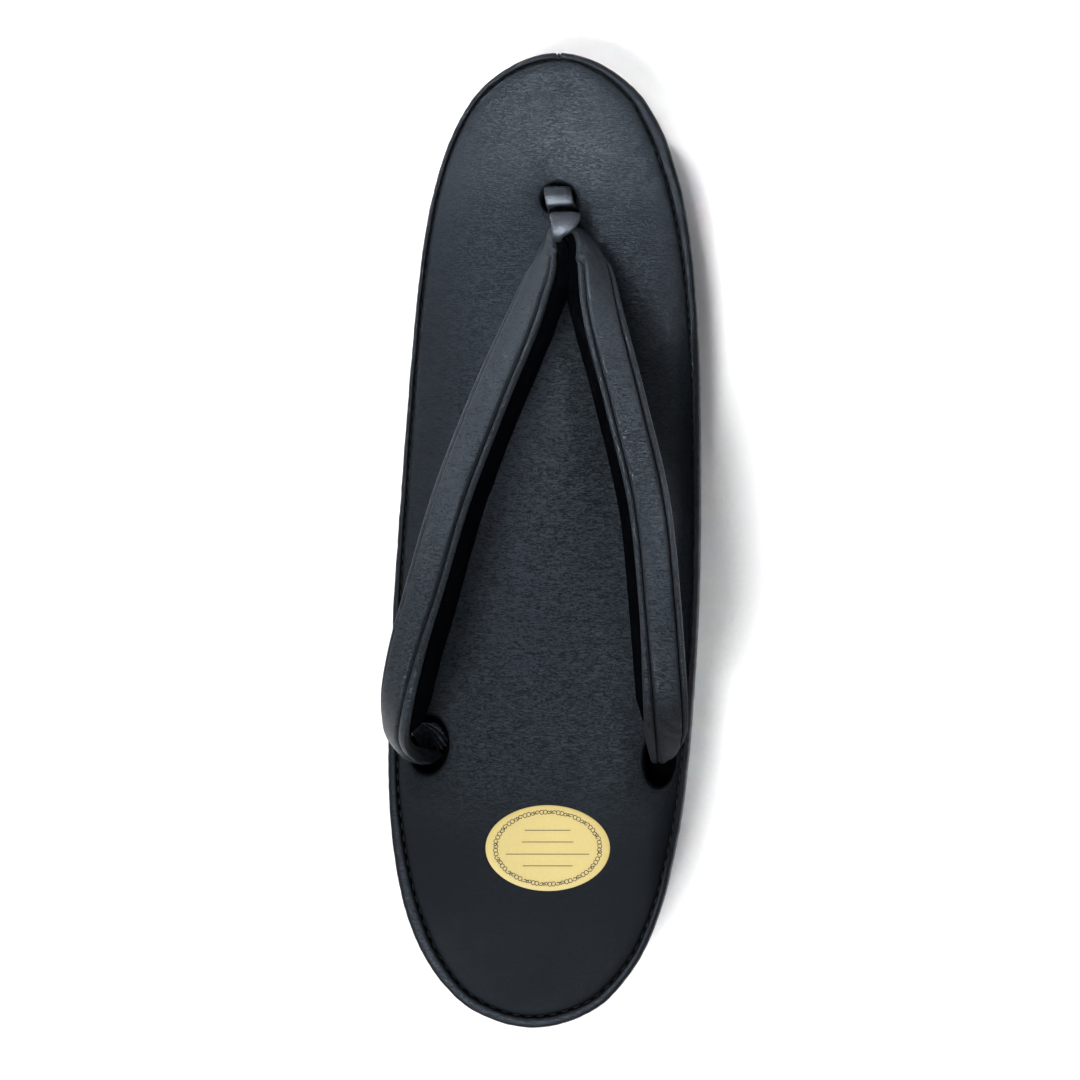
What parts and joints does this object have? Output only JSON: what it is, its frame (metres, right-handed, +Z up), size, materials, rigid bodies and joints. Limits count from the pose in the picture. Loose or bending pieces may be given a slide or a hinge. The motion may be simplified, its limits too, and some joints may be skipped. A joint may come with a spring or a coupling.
{
  "type": "zori sandal",
  "caption": "Flat Japanese sandal: a vinyl-wrapped wedge with a rolled rim, a cushioned insole and a padded V-shaped thong held by a toe loop.",
  "frame": {"origin": "on the floor, under the middle of the overall box", "axes": "+Y to the toe, +Z up from the floor, +X to the right seen from above"},
  "size_m": [0.0784, 0.2471, 0.0737],
  "materials": {
    "outsole_rubber": "matt, foamed rubber sheet",
    "base_vinyl": "satin, fine-grained black vinyl leather-cloth",
    "rim_vinyl": "satin, fine-grained black vinyl leather-cloth",
    "insole_vinyl": "satin, pebble-grained black vinyl leather-cloth over foam",
    "thong_vinyl": "soft satin, pebble-grained black vinyl leather-cloth over padding",
    "loop_vinyl": "satin, smooth black vinyl leather-cloth"
  },
  "bodies": {
    "root": {"outsole": "outsole_rubber", "base": "base_vinyl", "top_rim": "rim_vinyl", "insole": "insole_vinyl", "upper": "thong_vinyl", "toe_loop": "loop_vinyl"}
  },
  "joints": []
}
